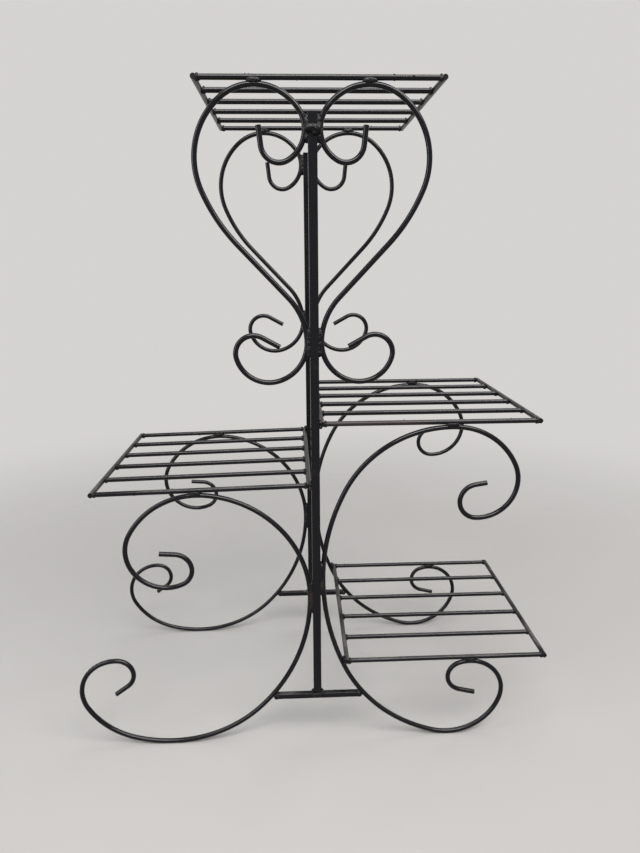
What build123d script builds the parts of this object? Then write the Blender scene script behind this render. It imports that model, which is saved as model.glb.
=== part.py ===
from build123d import *
from math import cos, degrees, radians, sin, sqrt
import os

# Welded wrought-iron plant stand. Two scrolled frames, front and rear, stand on the feet of their
# C-scrolls and carry four slatted shelves, each on its own level. Millimetres, +Z up, the front
# faces -Y, and the origin is on the floor under the middle of the stand. The halves of a frame
# are drawn outward from its post's axis, so one drawing serves the left and the right piece.

# Stock
rod = 6.0                        # diameter of every round rod: scrolls, hearts, rails and slats
rod_r = rod / 2
post_side = 10.0                 # square bar of the two posts
post_face = post_side / 2
bar_side = 7.0                   # square bar across the feet
corner = 0.8                     # rounding of the square bars' long edges
gap = 0.2                        # fit-up gap at every joint, which the weld fills
touch = post_face + gap + rod_r  # from a post's axis to a rod that lies against the post
pair = rod + gap                 # between the centre lines of two rods, one lying on the other

# Frames
post_top = 764.0
bar_top = 70.0                   # the posts stand on the foot bars
heart_head = 748.0               # height where the hearts' heads touch the post

# Shelves
shelf_width = 257.5              # between the centre lines of a shelf's two rails
slat_count = 6
slat_pitch = 52.9                # the first and last slats lie over the two frames
top_shelf_left = 120.5           # left rail of the top shelf, out from the post's axis
left_shelf_fall = 1.35           # degrees that the left shelf droops outward

# Scrolls: bends as (radius, turn in degrees), in order from the touch point on the post, and the
# length of the straight tip. A positive turn is anticlockwise on the right-hand side.
arms = {
    "left": [(138.5, -83), (96.5, -68), (47.5, -143), (21, -152)],
    "right": [(252.5, -26.5), (142, -66), (84, -62.5), (47, -118), (21.5, -168)],
}
arm_tips = {"left": 19, "right": 14}
feet = {
    "left": [(219, 47), (165.5, 60), (98.5, 44), (46, 121), (20.5, 142)],
    "right": [(305.5, 24), (186, 50), (71, 88), (43.5, 128), (20.5, 146)],
}
foot_tips = {"left": 19, "right": 21}
heart_bends = [(33, -36.5), (56, -92), (78, -74), (181, -21)]
heart_return = 72                # radius of the bend that lays the flank against the post again
heel_curl = [(45, 76), (38, 88), (20.5, 135)]
heel_tip = 22.5
head_curl = [(35, 61), (19, 113)]
head_tip = 19.5

# Weld beads: radii, lengths of the runs, and how far their middles stand out of the faces they join
post_bead_r = 4.8
scroll_bead = 34.0
head_bead = 18.0
heel_bead = 23.0
bead_out = 0.5
bridge_r = 4.0                   # across a post's outer face, between the hearts' heads
bridge_out = 0.8
base_r = 2.4                     # around the foot of a post
base_bead = 6.0
collar_r = 3.8                   # around a slat's end
collar_length = 1.6
seat_r = 4.0                     # where a shelf rests on a scroll
seat_bead = 8.0
inner_r = 2.2                    # over and under its inner rail, where that is held
inner_bead = 7.0
inner_lift = 2.6
inner_out = 1.2
bar_end_r = 4.6

UP, DOWN = (0, 1), (0, -1)
outward = {"left": -1, "right": 1}
half_depth = slat_pitch * (slat_count - 1) / 2
frame_y = {"front": -half_depth, "rear": half_depth}
made = {}


def finish(piece, name):
    """Label a finished piece, keep it for its neighbours and write its STEP file."""
    piece.part.label = name
    made[name] = piece.part
    export_step(piece.part, f"parts/{name}.step")


def bend_rod(start, toward, bends, tip):
    """Draw tangent bends one after another and a straight tip, and return the edges in order."""
    edges = []
    for radius, turn in bends:
        bend = JernArc(start, toward, radius, turn)
        start, toward = bend @ 1, bend % 1
        edges.append(bend)
    edges.append(Line(start, start + toward * tip))
    return edges


def draw_arm(side):
    return bend_rod((touch, scroll_touch[side]), UP, arms[side], arm_tips[side])


def draw_foot(side):
    return bend_rod((touch, scroll_touch[side]), DOWN, feet[side], foot_tips[side])


def draw_heart():
    """From the head over the crest and down the straight flank, back to the post at the heel."""
    edges = bend_rod((touch, heart_head), UP, heart_bends, heart_flank)
    flank = edges[-1]
    edges.append(JernArc(flank @ 1, flank % 1, heart_return, degrees(heart_slant)))
    return edges


def crest(edges):
    """Centre and radius of the bend that reaches highest."""
    bend = max(edges, key=lambda edge: edge.bounding_box().max.Z)
    return bend.arc_center, bend.radius


def beside(foot, height, offset):
    """How far out a point at this height is that lies offset outside the foot's bend there."""
    bend = next(edge for edge in foot if (edge @ 1).Z <= height <= (edge @ 0).Z)
    rise = bend.arc_center.Z - height
    return bend.arc_center.X - sqrt((bend.radius + offset) ** 2 - rise ** 2)


def resting(side, centre, radius, tilt=0.0):
    """The point where a slat lies on a rod's crest, tilted outward by an angle in radians."""
    reach = radius + pair / 2
    return outward[side] * (centre.X + reach * sin(tilt)), centre.Z + reach * cos(tilt)


def frame_plane(y, sign=1):
    """A frame's upright plane: its origin under the post, its x axis outward to one side."""
    return Plane(origin=(post_x, y, 0), x_dir=(sign, 0, 0), z_dir=(0, -sign, 0))


def cut_end(tip):
    """The plane of a rod's square-cut end."""
    return Plane(origin=tip @ 1, z_dir=tip % 1)


def bead(start, end, radius):
    """A run of weld between two points, round at both ends."""
    start, end = Vector(start), Vector(end)
    with Locations(start, end):
        Sphere(radius)
    with Locations(Plane(origin=start, z_dir=end - start)):
        Cylinder(radius, (end - start).length, align=(Align.CENTER, Align.CENTER, Align.MIN))


def drop(x, y, z, radius):
    """A single spot of weld."""
    with Locations((x, y, z)):
        Sphere(radius)


def frame_pieces(*names):
    """These pieces of both frames."""
    return [f"{frame}_{name}" for frame in frame_y for name in names]


def cut_back(neighbours):
    """Weld stays outside the pieces that it joins."""
    for name in neighbours:
        add(made[name], mode=Mode.SUBTRACT)


# Heights and reaches that follow from the bends, worked out on the right-hand side.

# The feet's lowest points stand on the floor.
scroll_touch = {}
foot_reach = {}
for side in outward:
    with BuildLine(Plane.XZ) as foot:
        bend_rod((touch, 0), DOWN, feet[side], foot_tips[side])
    foot_box = foot.line.bounding_box()
    scroll_touch[side] = rod_r - foot_box.min.Z
    foot_reach[side] = foot_box.max.X + rod_r

# The flank is as long as it takes for the return bend to end against the post.
heart_slant = radians(-sum(turn for _, turn in heart_bends) - 180)
with BuildLine(Plane.XZ):
    shoulder = bend_rod((touch, heart_head), UP, heart_bends, 1)[-1] @ 0
heart_flank = (shoulder.X - touch - heart_return * (1 - cos(heart_slant))) / sin(heart_slant)
with BuildLine(Plane.XZ):
    heart_outline = draw_heart()
heart_heel = (heart_outline[-1] @ 1).Z
heart_crest, heart_crest_r = crest(heart_outline[:-2])

# Each shelf lies on the crests below its slats.
top_z = heart_crest.Z + heart_crest_r + pair
with BuildLine(Plane.XZ):
    left_crest, left_crest_r = crest(draw_arm("left"))
    right_crest, right_crest_r = crest(draw_arm("right"))
    right_foot = draw_foot("right")
    left_foot = draw_foot("left")
middle_z = right_crest.Z + right_crest_r + pair
curl_crest, curl_crest_r = crest(right_foot[-3:-1])
bottom_z = curl_crest.Z + curl_crest_r + pair
bottom_inner = beside(right_foot, bottom_z, -pair)
fall = radians(left_shelf_fall)
left_rest = left_crest.X * sin(fall) + left_crest.Z * cos(fall) + left_crest_r + pair
left_z = (left_rest - touch * sin(fall)) / cos(fall)
left_outer = touch + shelf_width * cos(fall)

# Rails as (across from the post's axis, height), left one first.
shelves = {
    "top_shelf": {
        "left_rail": (-top_shelf_left, top_z),
        "right_rail": (shelf_width - top_shelf_left, top_z),
    },
    "left_shelf": {
        "outer_rail": (-left_outer, left_z - shelf_width * sin(fall)),
        "inner_rail": (-touch, left_z),
    },
    "middle_shelf": {
        "inner_rail": (touch, middle_z),
        "outer_rail": (touch + shelf_width, middle_z),
    },
    "bottom_shelf": {
        "inner_rail": (bottom_inner, bottom_z),
        "outer_rail": (bottom_inner + shelf_width, bottom_z),
    },
}

# Where each shelf's outer slats rest, as (across from the post's axis, height)
seats = {
    "top_shelf": [resting(side, heart_crest, heart_crest_r) for side in outward],
    "left_shelf": [resting("left", left_crest, left_crest_r, fall)],
    "middle_shelf": [resting("right", right_crest, right_crest_r)],
    "bottom_shelf": [resting("right", curl_crest, curl_crest_r)],
}

# Where each inner rail is welded to the posts or, on the bottom shelf, to the scrolls
inner_joints = {
    "top_shelf": [],
    "left_shelf": [(-post_face - inner_out, left_z)],
    "middle_shelf": [(post_face + inner_out, middle_z)],
    "bottom_shelf": [(beside(right_foot, bottom_z, -pair / 2), bottom_z)],
}

# What carries each shelf in either frame
carriers = {
    "top_shelf": ["left_heart", "right_heart"],
    "left_shelf": ["post", "left_scroll"],
    "middle_shelf": ["post", "right_scroll"],
    "bottom_shelf": ["right_scroll"],
}

# The stand is centred between its left foot and the bottom shelf's outer rail.
right_reach = bottom_inner + shelf_width + rod_r
post_x = (foot_reach["left"] - right_reach) / 2

os.makedirs("parts", exist_ok=True)

for frame, y in frame_y.items():
    # Post of square bar, cut square at the top
    with BuildPart() as post:
        with BuildSketch(Plane(origin=(post_x, y, bar_top + gap))):
            Rectangle(post_side, post_side)
        extrude(amount=post_top - bar_top - gap)
        fillet(post.edges().filter_by(Axis.Z), corner)
    finish(post, f"{frame}_post")

    # Bar between the two feet, its ends against the rods
    bar_left = beside(left_foot, bar_top, rod_r + gap)
    bar_right = beside(right_foot, bar_top, rod_r + gap)
    with BuildPart() as foot_bar:
        with BuildSketch(Plane(origin=(post_x - bar_left, y, bar_top - bar_side / 2), z_dir=(1, 0, 0))):
            Rectangle(bar_side, bar_side)
        extrude(amount=bar_left + bar_right)
        fillet(foot_bar.edges().filter_by(Axis.X), corner)
    finish(foot_bar, f"{frame}_foot_bar")

    for side, sign in outward.items():
        # C-scroll: one rod, its arm above and its foot below the place where it touches the post
        with BuildPart() as scroll:
            with BuildLine(frame_plane(y, sign)):
                arm = draw_arm(side)
                draw_foot(side)
            with BuildSketch(cut_end(arm[-1])):
                Circle(rod_r)
            sweep()
        finish(scroll, f"{frame}_{side}_scroll")

        # Heart half: one rod, curled at its head and at its heel
        with BuildPart() as heart:
            with BuildLine(frame_plane(y, sign)):
                outline = draw_heart()
                bend_rod(outline[-1] @ 1, outline[-1] % 1, heel_curl, heel_tip)
                curl = bend_rod((touch, heart_head), DOWN, head_curl, head_tip)
            with BuildSketch(cut_end(curl[-1])):
                Circle(rod_r)
            sweep()
        finish(heart, f"{frame}_{side}_heart")

slat_y = [-half_depth + slat_pitch * row for row in range(slat_count)]

for shelf, rails in shelves.items():
    # Two rails from front to rear, their ends level with the outer slats' sides
    for rail_name, (x, z) in rails.items():
        with BuildPart() as rail:
            with BuildSketch(Plane(origin=(post_x + x, 0, z), z_dir=(0, 1, 0))):
                Circle(rod_r)
            extrude(amount=half_depth + rod_r, both=True)
        finish(rail, f"{shelf}_{rail_name}")

    # Slats between the rails, butted against their inner sides
    (x0, z0), (x1, z1) = rails.values()
    across = Vector(x1 - x0, 0, z1 - z0).normalized()
    left_end = Vector(post_x + x0, 0, z0) + across * (rod_r + gap)
    right_end = Vector(post_x + x1, 0, z1) - across * (rod_r + gap)
    for row, y in enumerate(slat_y, start=1):
        with BuildPart() as slat:
            with BuildSketch(Plane(origin=left_end + Vector(0, y, 0), z_dir=across)):
                Circle(rod_r)
            extrude(amount=(right_end - left_end).length)
        finish(slat, f"{shelf}_slat_{row}")

    # Beads where the shelf rests and where its inner rail is held, and a collar on each slat's end
    with BuildPart() as shelf_welds:
        for y in frame_y.values():
            for x, z in seats[shelf]:
                seat = Vector(post_x + x, y, z)
                bead(seat - across * seat_bead / 2, seat + across * seat_bead / 2, seat_r)
            for x, z in inner_joints[shelf]:
                for lift in (-inner_lift, inner_lift):
                    front, back = y - inner_bead / 2, y + inner_bead / 2
                    bead((post_x + x, front, z + lift), (post_x + x, back, z + lift), inner_r)
        shelf_pieces = [name for name in made if name.startswith(shelf)]
        cut_back(frame_pieces(*carriers[shelf]) + shelf_pieces)
        for y in slat_y:
            for end, inward in ((left_end, across), (right_end, -across)):
                with BuildSketch(Plane(origin=end + Vector(0, y, 0), z_dir=inward)):
                    Circle(collar_r)
                    Circle(rod_r, mode=Mode.SUBTRACT)
        extrude(amount=collar_length)
    finish(shelf_welds, f"{shelf}_welds")

# Beads down both sides of a post, where the C-scrolls touch it
with BuildPart() as scroll_welds:
    for y in frame_y.values():
        for side, sign in outward.items():
            x, z = post_x + sign * (post_face + bead_out), scroll_touch[side]
            bead((x, y, z - scroll_bead / 2), (x, y, z + scroll_bead / 2), post_bead_r)
    cut_back(frame_pieces("post", "left_scroll", "right_scroll"))
finish(scroll_welds, "scroll_welds")

# The same at the hearts' heads and heels, and a bead across the outer face between the heads
with BuildPart() as heart_welds:
    for frame, y in frame_y.items():
        face_y = y + (post_face + bridge_out) * (-1 if frame == "front" else 1)
        bead((post_x - post_face, face_y, heart_head), (post_x + post_face, face_y, heart_head), bridge_r)
        for sign in outward.values():
            x = post_x + sign * (post_face + bead_out)
            for z, length in ((heart_head, head_bead), (heart_heel, heel_bead)):
                bead((x, y, z - length / 2), (x, y, z + length / 2), post_bead_r)
    cut_back(frame_pieces("post", "left_heart", "right_heart"))
finish(heart_welds, "heart_welds")

# Beads around the posts' feet, and between the foot bars and the scrolls
with BuildPart() as foot_welds:
    for frame, y in frame_y.items():
        for sign in (-1, 1):
            x0, x1 = post_x - base_bead / 2, post_x + base_bead / 2
            base_y = y + sign * (post_face - bead_out)
            bead((x0, base_y, bar_top), (x1, base_y, bar_top), base_r)
            base_x = post_x + sign * (post_face + bead_out)
            bead((base_x, y - rod_r, bar_top), (base_x, y + rod_r, bar_top), base_r)
        for x in (post_x - bar_left, post_x + bar_right):
            drop(x, y, bar_top - bar_side / 2, bar_end_r)
    cut_back(frame_pieces("post", "foot_bar", "left_scroll", "right_scroll"))
finish(foot_welds, "foot_welds")
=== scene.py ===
import math
import random

import bmesh
import bpy
from mathutils import Matrix, Vector


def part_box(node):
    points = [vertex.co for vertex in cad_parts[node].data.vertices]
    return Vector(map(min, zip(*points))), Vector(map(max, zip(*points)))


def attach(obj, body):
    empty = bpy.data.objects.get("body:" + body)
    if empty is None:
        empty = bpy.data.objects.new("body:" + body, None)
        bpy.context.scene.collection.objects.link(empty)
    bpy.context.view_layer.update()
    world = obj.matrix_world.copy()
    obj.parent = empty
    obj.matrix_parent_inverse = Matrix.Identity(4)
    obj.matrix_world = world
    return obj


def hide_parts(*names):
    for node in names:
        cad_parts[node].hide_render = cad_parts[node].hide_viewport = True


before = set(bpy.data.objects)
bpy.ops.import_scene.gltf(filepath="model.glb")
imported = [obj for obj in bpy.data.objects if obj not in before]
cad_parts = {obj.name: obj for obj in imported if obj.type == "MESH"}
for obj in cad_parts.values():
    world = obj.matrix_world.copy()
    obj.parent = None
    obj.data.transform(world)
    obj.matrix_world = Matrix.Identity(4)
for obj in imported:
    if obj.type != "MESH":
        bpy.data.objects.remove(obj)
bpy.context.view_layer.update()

# Looks for a welded wrought-iron plant stand: black enamel on bent rods, slats and square bars,
# with rough weld beads. Metres, in the frame's own axes: +Z up, the front faces -Y.

SHELVES = ("top_shelf", "left_shelf", "middle_shelf", "bottom_shelf")
WELDS = [f"{shelf}_welds" for shelf in SHELVES] + ["scroll_welds", "heart_welds", "foot_welds"]
MM = 0.001


def corners(node):
    """Low and high corner of a CAD node's box."""
    return [Vector(corner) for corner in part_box(node)]


def centre(node):
    """Middle of a CAD node's box."""
    low, high = corners(node)
    return (low + high) / 2


# ---------------------------------------------------------------- camera

CAMERA_FROM_POST = Vector((-0.024, -0.724, 0.6161))   # from the foot of the front post
CAMERA_YAW = math.radians(2.35)                       # turned toward +X
CAMERA_PITCH = math.radians(14.57)                    # looking down
CAMERA_ROLL = math.radians(-0.41)
LENS_MM = 27.1
SENSOR_MM = 36.0


def make_camera():
    post = centre("front_post")
    data = bpy.data.cameras.new("camera")
    data.sensor_fit = "AUTO"
    data.sensor_width = SENSOR_MM
    data.lens = LENS_MM
    data.clip_start = 0.01
    camera = bpy.data.objects.new("camera", data)
    yaw, pitch = CAMERA_YAW, CAMERA_PITCH
    forward = Vector((math.sin(yaw) * math.cos(pitch), math.cos(yaw) * math.cos(pitch), -math.sin(pitch)))
    level = Vector((math.cos(yaw), -math.sin(yaw), 0.0))
    upright = level.cross(forward)
    right = math.cos(CAMERA_ROLL) * level + math.sin(CAMERA_ROLL) * upright
    up = math.cos(CAMERA_ROLL) * upright - math.sin(CAMERA_ROLL) * level
    turn = Matrix((right, up, -forward)).transposed()
    place = Vector((post.x, post.y, 0.0)) + CAMERA_FROM_POST
    camera.matrix_world = Matrix.Translation(place) @ turn.to_4x4()
    bpy.context.scene.collection.objects.link(camera)
    bpy.context.scene.camera = camera


# ---------------------------------------------------------------- materials

ENAMEL = (0.0020, 0.0020, 0.0028, 1.0)
WORN = (0.0060, 0.0055, 0.0055, 1.0)
DUST = (0.100, 0.092, 0.088, 1.0)
SOOT = (0.012, 0.009, 0.0075, 1.0)
DULL = (0.016, 0.012, 0.0115, 1.0)

DULL_FADE = 35 * MM              # how gently a dull stretch begins and ends
DULL_SHARE = 0.55                # of the slat's length

# Noise features per metre
PATCHES, THIN, SAGS, BLOTCHES, SPECKLE, STROKES = 22.0, 60.0, 110.0, 160.0, 420.0, 700.0
BURNS, LUMPS, PITS = 90.0, 190.0, 650.0

# How far noise is stretched along each axis
EVEN, ALL_WAYS = (1, 1, 1), (2, 2, 2)
ALONG_X, ALONG_Y, ALONG_Z = (30, 1, 1), (1, 30, 1), (1, 1, 30)


class Nodes:
    """A short way to write a material's node tree."""

    def __init__(self, name):
        self.material = bpy.data.materials.new(name)
        self.material.use_nodes = True
        self.tree = self.material.node_tree
        self.shader = self.tree.nodes["Principled BSDF"]

    def add(self, kind, **settings):
        node = self.tree.nodes.new(kind)
        for key, value in settings.items():
            setattr(node, key, value)
        return node

    def link(self, source, target):
        self.tree.links.new(source, target)

    def math(self, operation, first, second):
        node = self.add("ShaderNodeMath", operation=operation)
        for socket, value in zip(node.inputs, (first, second)):
            if isinstance(value, (int, float)):
                socket.default_value = value
            else:
                self.link(value, socket)
        return node.outputs[0]

    def noise(self, stretch, scale, detail, shift):
        """Noise in the frame's metres, stretched along the axes by these divisors."""
        where = self.add("ShaderNodeTexCoord")
        mapping = self.add("ShaderNodeMapping")
        mapping.inputs["Scale"].default_value = tuple(1.0 / part for part in stretch)
        mapping.inputs["Location"].default_value = (shift, shift * 0.7, shift * 1.3)
        texture = self.add("ShaderNodeTexNoise")
        texture.inputs["Scale"].default_value = scale
        texture.inputs["Detail"].default_value = detail
        self.link(where.outputs["Object"], mapping.inputs["Vector"])
        self.link(mapping.outputs["Vector"], texture.inputs["Vector"])
        return texture.outputs[0]

    def ramp(self, value, low, high, to_low=0.0, to_high=1.0):
        node = self.add("ShaderNodeMapRange", interpolation_type="SMOOTHSTEP")
        for socket, number in zip(list(node.inputs)[1:5], (low, high, to_low, to_high)):
            socket.default_value = number
        self.link(value, node.inputs[0])
        return node.outputs[0]

    def mix(self, factor, first, second):
        node = self.add("ShaderNodeMix", data_type="RGBA")
        sockets = [socket for socket in node.inputs if socket.type == "RGBA"]
        self.link(factor, node.inputs[0])
        for socket, value in zip(sockets, (first, second)):
            if isinstance(value, tuple):
                socket.default_value = value
            else:
                self.link(value, socket)
        return [socket for socket in node.outputs if socket.type == "RGBA"][0]

    def bump(self, height, distance, strength, under=None):
        node = self.add("ShaderNodeBump")
        node.inputs["Distance"].default_value = distance
        node.inputs["Strength"].default_value = strength
        self.link(height, node.inputs["Height"])
        if under:
            self.link(under, node.inputs["Normal"])
        return node.outputs[0]


def enamel(name, along, dust, gloss, seed, dull=None):
    """Brushed black enamel. along stretches the brush marks along the rod, dust is how much lies on
    top, and dull is a stretch (from x, to x) where the paint has gone flat and brownish."""
    n = Nodes(name)
    patches = n.noise(EVEN, PATCHES, 4.0, seed)
    speckle = n.noise(EVEN, SPECKLE, 4.0, seed + 3.0)
    strokes = n.noise(along, STROKES, 2.0, seed + 5.0)
    sags = n.noise(along, SAGS, 2.0, seed + 7.0)

    facing = n.add("ShaderNodeSeparateXYZ")
    geometry = n.add("ShaderNodeNewGeometry")
    n.link(geometry.outputs["Normal"], facing.inputs[0])
    on_top = n.ramp(facing.outputs["Z"], 0.15, 0.95)
    settled = n.math("MULTIPLY", on_top, n.ramp(patches, 0.36, 0.66))
    grains = n.math("MULTIPLY", settled, n.ramp(speckle, 0.36, 0.66, 0.35, 1.0))
    dusty = n.math("MULTIPLY", grains, dust)

    thin = n.ramp(n.noise(EVEN, THIN, 5.0, seed + 11.0), 0.58, 0.78)
    colour = n.mix(dusty, n.mix(thin, ENAMEL, WORN), DUST)
    clouded = n.ramp(patches, 0.3, 0.7, gloss, gloss + 0.08)
    brushed = n.math("ADD", clouded, n.ramp(strokes, 0.3, 0.7, 0.0, 0.05))
    roughness = n.math("ADD", brushed, n.math("MULTIPLY", dusty, 0.9))
    if dull:
        where = n.add("ShaderNodeSeparateXYZ")
        n.link(n.add("ShaderNodeTexCoord").outputs["Object"], where.inputs[0])
        begun = n.ramp(where.outputs["X"], dull[0], dull[0] + DULL_FADE)
        ended = n.ramp(where.outputs["X"], dull[1] - DULL_FADE, dull[1], 1.0, 0.0)
        blotched = n.ramp(n.noise(along, BLOTCHES, 4.0, seed + 13.0), 0.25, 0.60, 0.35, 1.0)
        flat = n.math("MULTIPLY", n.math("MULTIPLY", begun, ended), blotched)
        colour = n.mix(flat, colour, DULL)
        roughness = n.math("ADD", roughness, n.math("MULTIPLY", flat, 0.15))
    n.link(colour, n.shader.inputs["Base Color"])
    n.link(roughness, n.shader.inputs["Roughness"])

    relief = n.bump(sags, 0.25 * MM, 0.12)
    relief = n.bump(strokes, 0.05 * MM, 0.06, relief)
    relief = n.bump(speckle, 0.03 * MM, 0.05, relief)
    n.link(relief, n.shader.inputs["Normal"])
    n.shader.inputs["Specular IOR Level"].default_value = 0.19
    return n.material


def weld_enamel():
    """Enamel over rough weld: pitted, with soot-brown patches."""
    n = Nodes("weld_enamel")
    pits = n.noise(EVEN, PITS, 5.0, 2.0)
    lumps = n.noise(EVEN, LUMPS, 4.0, 4.0)
    burnt = n.ramp(n.noise(EVEN, BURNS, 3.0, 9.0), 0.50, 0.72)
    n.link(n.mix(burnt, ENAMEL, SOOT), n.shader.inputs["Base Color"])
    n.link(n.ramp(lumps, 0.3, 0.7, 0.30, 0.52), n.shader.inputs["Roughness"])
    relief = n.bump(lumps, 0.6 * MM, 0.4)
    n.link(n.bump(pits, 0.2 * MM, 0.3, relief), n.shader.inputs["Normal"])
    n.shader.inputs["Specular IOR Level"].default_value = 0.15
    return n.material


def dull_stretch(slat):
    """From a slat's inner end, where it is fully dull already, to a little past its middle."""
    low, high = corners(slat)
    return low.x - DULL_FADE, low.x + DULL_SHARE * (high.x - low.x)


def paint_frame():
    """Every bar and rod gets the enamel of its kind."""
    scrolls = enamel("enamel_scroll", ALL_WAYS, 0.10, 0.12, 1.0)
    squares = {
        "post": enamel("enamel_post", ALONG_Z, 0.06, 0.13, 21.0),
        "foot_bar": enamel("enamel_foot_bar", ALONG_X, 0.35, 0.18, 31.0),
    }
    slats = [enamel(f"enamel_slat_{kind}", ALONG_X, dust, 0.13, 41.0 + 10 * kind)
             for kind, dust in enumerate((0.12, 0.30, 0.20))]
    dulled = enamel("enamel_slat_dull", ALONG_X, 0.25, 0.16, 71.0, dull_stretch("middle_shelf_slat_1"))
    rails = enamel("enamel_rail", ALONG_Y, 0.60, 0.22, 81.0)
    for name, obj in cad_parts.items():
        if name in WELDS:
            continue
        if name.endswith(("scroll", "heart")):
            material = scrolls
        elif name.endswith("rail"):
            material = rails
        elif name == "middle_shelf_slat_1":
            material = dulled
        elif "_slat_" in name:
            material = slats[int(name[-1]) % len(slats)]
        else:
            material = squares[name.split("_", 1)[1]]
        obj.data.materials.clear()
        obj.data.materials.append(material)


# ---------------------------------------------------------------- welds

WELD_VOXEL = 0.5 * MM
SHELF_NOISE = ((3.0 * MM, 1.3 * MM), (1.0 * MM, 0.5 * MM))    # size and height of lumps and of grit
FRAME_NOISE = ((4.0 * MM, 2.2 * MM), (1.2 * MM, 0.5 * MM))
ROD_R = 3.0 * MM
HEAD_BELOW_TOP = 13.8 * MM       # from the top of the heart welds to the middle of the bead across a post
POST_FACE = 5.0 * MM
SLAT_ROWS = range(1, 7)
JOINT_LUMPS = ((-1.1, 1.0), (0.4, 0.9))               # mm above the rail's axis, and share of the reach
JOINT_REACH = ((2.2, 3.4), (2.9, 3.8), (2.5, 3.0))    # least and most in mm, along X, Y and Z
HEAD_LUMPS = (-6.0, -3.5, -0.5, 2.5, 5.5)             # places in mm across a post
PUSH_LEVEL = 0.40                # noise above this swells the weld


def add_lump(shape, place, reach):
    """A blob of weld with this reach along each axis."""
    spot = Matrix.Translation(place) @ Matrix.Diagonal((*reach, 1.0))
    bmesh.ops.create_icosphere(shape, subdivisions=3, radius=1.0, matrix=spot)


def add_slat_joints(shape, shelf, chance):
    """A small fillet of weld, mostly on the underside, where each slat meets a rail."""
    for rail in [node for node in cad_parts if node.startswith(shelf) and node.endswith("rail")]:
        middle = centre(rail)
        inward = math.copysign(1.0, centre(f"{shelf}_slat_1").x - middle.x)
        for row in SLAT_ROWS:
            for lift, size in JOINT_LUMPS:
                x = middle.x + inward * (ROD_R + chance.uniform(-0.2, 0.8) * MM)
                y = centre(f"{shelf}_slat_{row}").y + chance.uniform(-0.7, 0.7) * MM
                z = middle.z + (lift + chance.uniform(-0.3, 0.3)) * MM
                reach = [size * chance.uniform(*span) * MM for span in JOINT_REACH]
                add_lump(shape, (x, y, z), reach)


def add_head_joints(shape, chance):
    """The heaped weld across each post's outer face, between the hearts' heads."""
    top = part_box("heart_welds")[1][2] - HEAD_BELOW_TOP
    for post, face in (("front_post", -1), ("rear_post", 1)):
        middle = centre(post)
        for across in HEAD_LUMPS:
            x = middle.x + (across + chance.uniform(-0.8, 0.8)) * MM
            y = middle.y + face * (POST_FACE + chance.uniform(-1.4, -0.3) * MM)
            z = top + chance.uniform(-4.5, 3.5) * MM
            add_lump(shape, (x, y, z), [chance.uniform(2.9, 4.2) * MM for _ in range(3)])


def weld_mesh(name):
    """The CAD node's own beads, with the lumps of weld that lie around them."""
    shape = bmesh.new()
    shape.from_mesh(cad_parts[name].data)
    chance = random.Random(name)
    shelf = name.removesuffix("_welds")
    if shelf in SHELVES:
        add_slat_joints(shape, shelf, chance)
    elif name == "heart_welds":
        add_head_joints(shape, chance)
    mesh = bpy.data.meshes.new(f"{name}_bead")
    shape.to_mesh(mesh)
    shape.free()
    return mesh


def rough_weld(name, material):
    """A lumpy bead that stands for a CAD weld node: its shape, remeshed and pushed out unevenly."""
    bead = bpy.data.objects.new(f"{name}_bead", weld_mesh(name))
    bpy.context.scene.collection.objects.link(bead)
    remesh = bead.modifiers.new("remesh", "REMESH")
    remesh.mode = "VOXEL"
    remesh.voxel_size = WELD_VOXEL
    on_shelf = name.removesuffix("_welds") in SHELVES
    for size, depth in SHELF_NOISE if on_shelf else FRAME_NOISE:
        texture = bpy.data.textures.new(f"{name}_{size}", "CLOUDS")
        texture.noise_scale = size
        texture.noise_depth = 2
        push = bead.modifiers.new("push", "DISPLACE")
        push.texture = texture
        push.texture_coords = "LOCAL"
        push.strength = depth
        push.mid_level = PUSH_LEVEL
    graph = bpy.context.evaluated_depsgraph_get()
    solid = bpy.data.meshes.new_from_object(bead.evaluated_get(graph))
    bead.modifiers.clear()
    bead.data = solid
    solid.materials.clear()
    solid.materials.append(material)
    for face in solid.polygons:
        face.use_smooth = True
    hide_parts(name)
    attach(bead, "root")


SPATTER = {"top_shelf": 9, "left_shelf": 7, "middle_shelf": 8, "bottom_shelf": 8}


def spatter(shelf, material):
    """Small beads of weld thrown onto the shelf's front and rear slats, most of them near the middle."""
    chance = random.Random(f"{shelf} spatter")
    shape = bmesh.new()
    for slat in (f"{shelf}_slat_1", f"{shelf}_slat_6"):
        low, high = corners(slat)
        for _ in range(SPATTER[shelf]):
            along = chance.betavariate(2.0, 2.0)
            x = low.x + along * (high.x - low.x)
            z = (low.z + high.z) / 2
            if shelf == "left_shelf":    # it slopes down to the left
                z = low.z + ROD_R + along * (high.z - low.z - 2 * ROD_R)
            turn = chance.uniform(0.0, 2 * math.pi)
            y = (low.y + high.y) / 2 + ROD_R * math.cos(turn)
            size = chance.uniform(0.35, 0.85) * MM
            flat = Matrix.Diagonal((size * chance.uniform(1.0, 1.9), size, size, 1.0))
            place = Matrix.Translation((x, y, z + ROD_R * math.sin(turn)))
            bmesh.ops.create_icosphere(shape, subdivisions=3, radius=1.0, matrix=place @ flat)
    mesh = bpy.data.meshes.new(f"{shelf}_spatter")
    shape.to_mesh(mesh)
    shape.free()
    for face in mesh.polygons:
        face.use_smooth = True
    mesh.materials.append(material)
    drops = bpy.data.objects.new(f"{shelf}_spatter", mesh)
    bpy.context.scene.collection.objects.link(drops)
    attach(drops, "root")


# ---------------------------------------------------------------- floor and light

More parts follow.
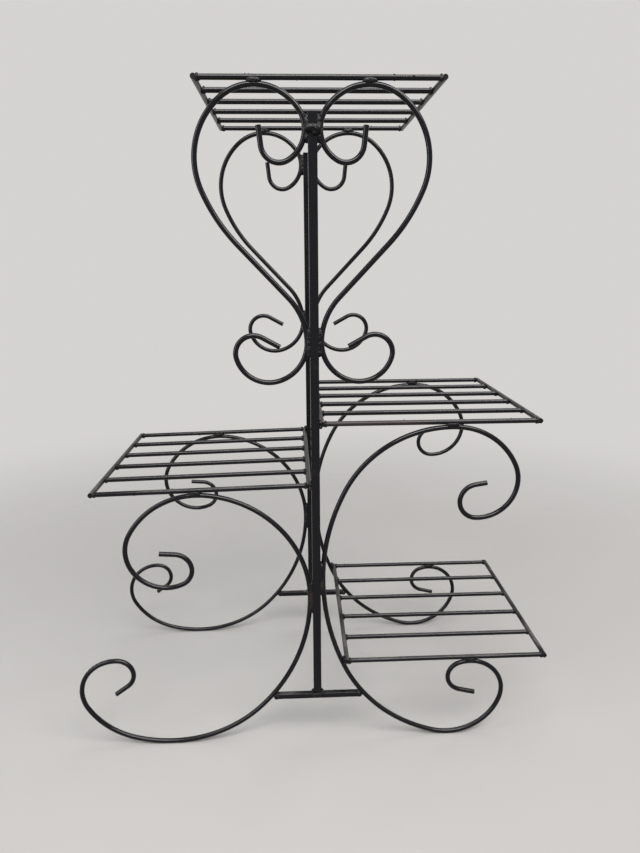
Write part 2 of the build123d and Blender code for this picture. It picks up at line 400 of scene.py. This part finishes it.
FLOOR_SIZE = 12.0
CLOTH = 1.6                            # soft shades of the floor, per metre
FLOOR_NEAR, FLOOR_FAR = 0.35, 1.7      # between these distances the floor fades into its surroundings
PALE = (0.205, 0.202, 0.198, 1.0)
SHADED = (0.190, 0.187, 0.183, 1.0)
SURROUND = (0.930, 0.908, 0.885, 1.0)
SURROUND_STRENGTH = 0.72


def make_floor():
    bpy.ops.mesh.primitive_plane_add(size=FLOOR_SIZE, location=(0, 0, 0))
    floor = bpy.context.object
    floor.name = "floor"
    n = Nodes("floor")
    cloth = n.noise(EVEN, CLOTH, 4.0, 5.0)
    n.link(n.mix(n.ramp(cloth, 0.3, 0.7), PALE, SHADED), n.shader.inputs["Base Color"])
    n.shader.inputs["Roughness"].default_value = 0.85
    n.shader.inputs["Specular IOR Level"].default_value = 0.2
    distance = n.add("ShaderNodeVectorMath", operation="LENGTH")
    n.link(n.add("ShaderNodeTexCoord").outputs["Object"], distance.inputs[0])
    fade = n.add("ShaderNodeMixShader")
    n.link(n.ramp(distance.outputs["Value"], FLOOR_NEAR, FLOOR_FAR), fade.inputs[0])
    n.link(n.shader.outputs[0], fade.inputs[1])
    n.link(n.add("ShaderNodeBsdfTransparent").outputs[0], fade.inputs[2])
    n.link(fade.outputs[0], n.tree.nodes["Material Output"].inputs["Surface"])
    floor.data.materials.append(n.material)


def area_light(name, place, target, size, power, colour):
    data = bpy.data.lights.new(name, "AREA")
    data.shape = "RECTANGLE"
    data.size, data.size_y = size
    data.energy = power
    data.color = colour
    light = bpy.data.objects.new(name, data)
    light.location = place
    light.rotation_euler = (Vector(target) - Vector(place)).to_track_quat("-Z", "Y").to_euler()
    bpy.context.scene.collection.objects.link(light)


def make_light():
    """Wide soft boxes: their long reflections run down the rods that lie along each axis."""
    middle = (0.0, 0.0, 0.4)
    area_light("key", (0.5, -1.5, 2.3), middle, (3.0, 0.9), 170.0, (1.0, 0.98, 0.96))
    area_light("side", (-1.8, -1.0, 1.2), middle, (0.5, 2.0), 40.0, (0.94, 0.97, 1.0))
    area_light("top", (0.3, 0.3, 3.0), middle, (0.8, 3.0), 60.0, (1.0, 1.0, 1.0))
    world = bpy.data.worlds.new("studio")
    world.use_nodes = True
    sky = world.node_tree.nodes["Background"]
    sky.inputs["Color"].default_value = SURROUND
    sky.inputs["Strength"].default_value = SURROUND_STRENGTH
    bpy.context.scene.world = world
    bpy.context.scene.view_settings.view_transform = "Standard"


# ---------------------------------------------------------------- the scene

make_camera()
paint_frame()
weld_finish = weld_enamel()
for weld in WELDS:
    rough_weld(weld, weld_finish)
for shelf in SHELVES:
    spatter(shelf, weld_finish)
make_floor()
make_light()
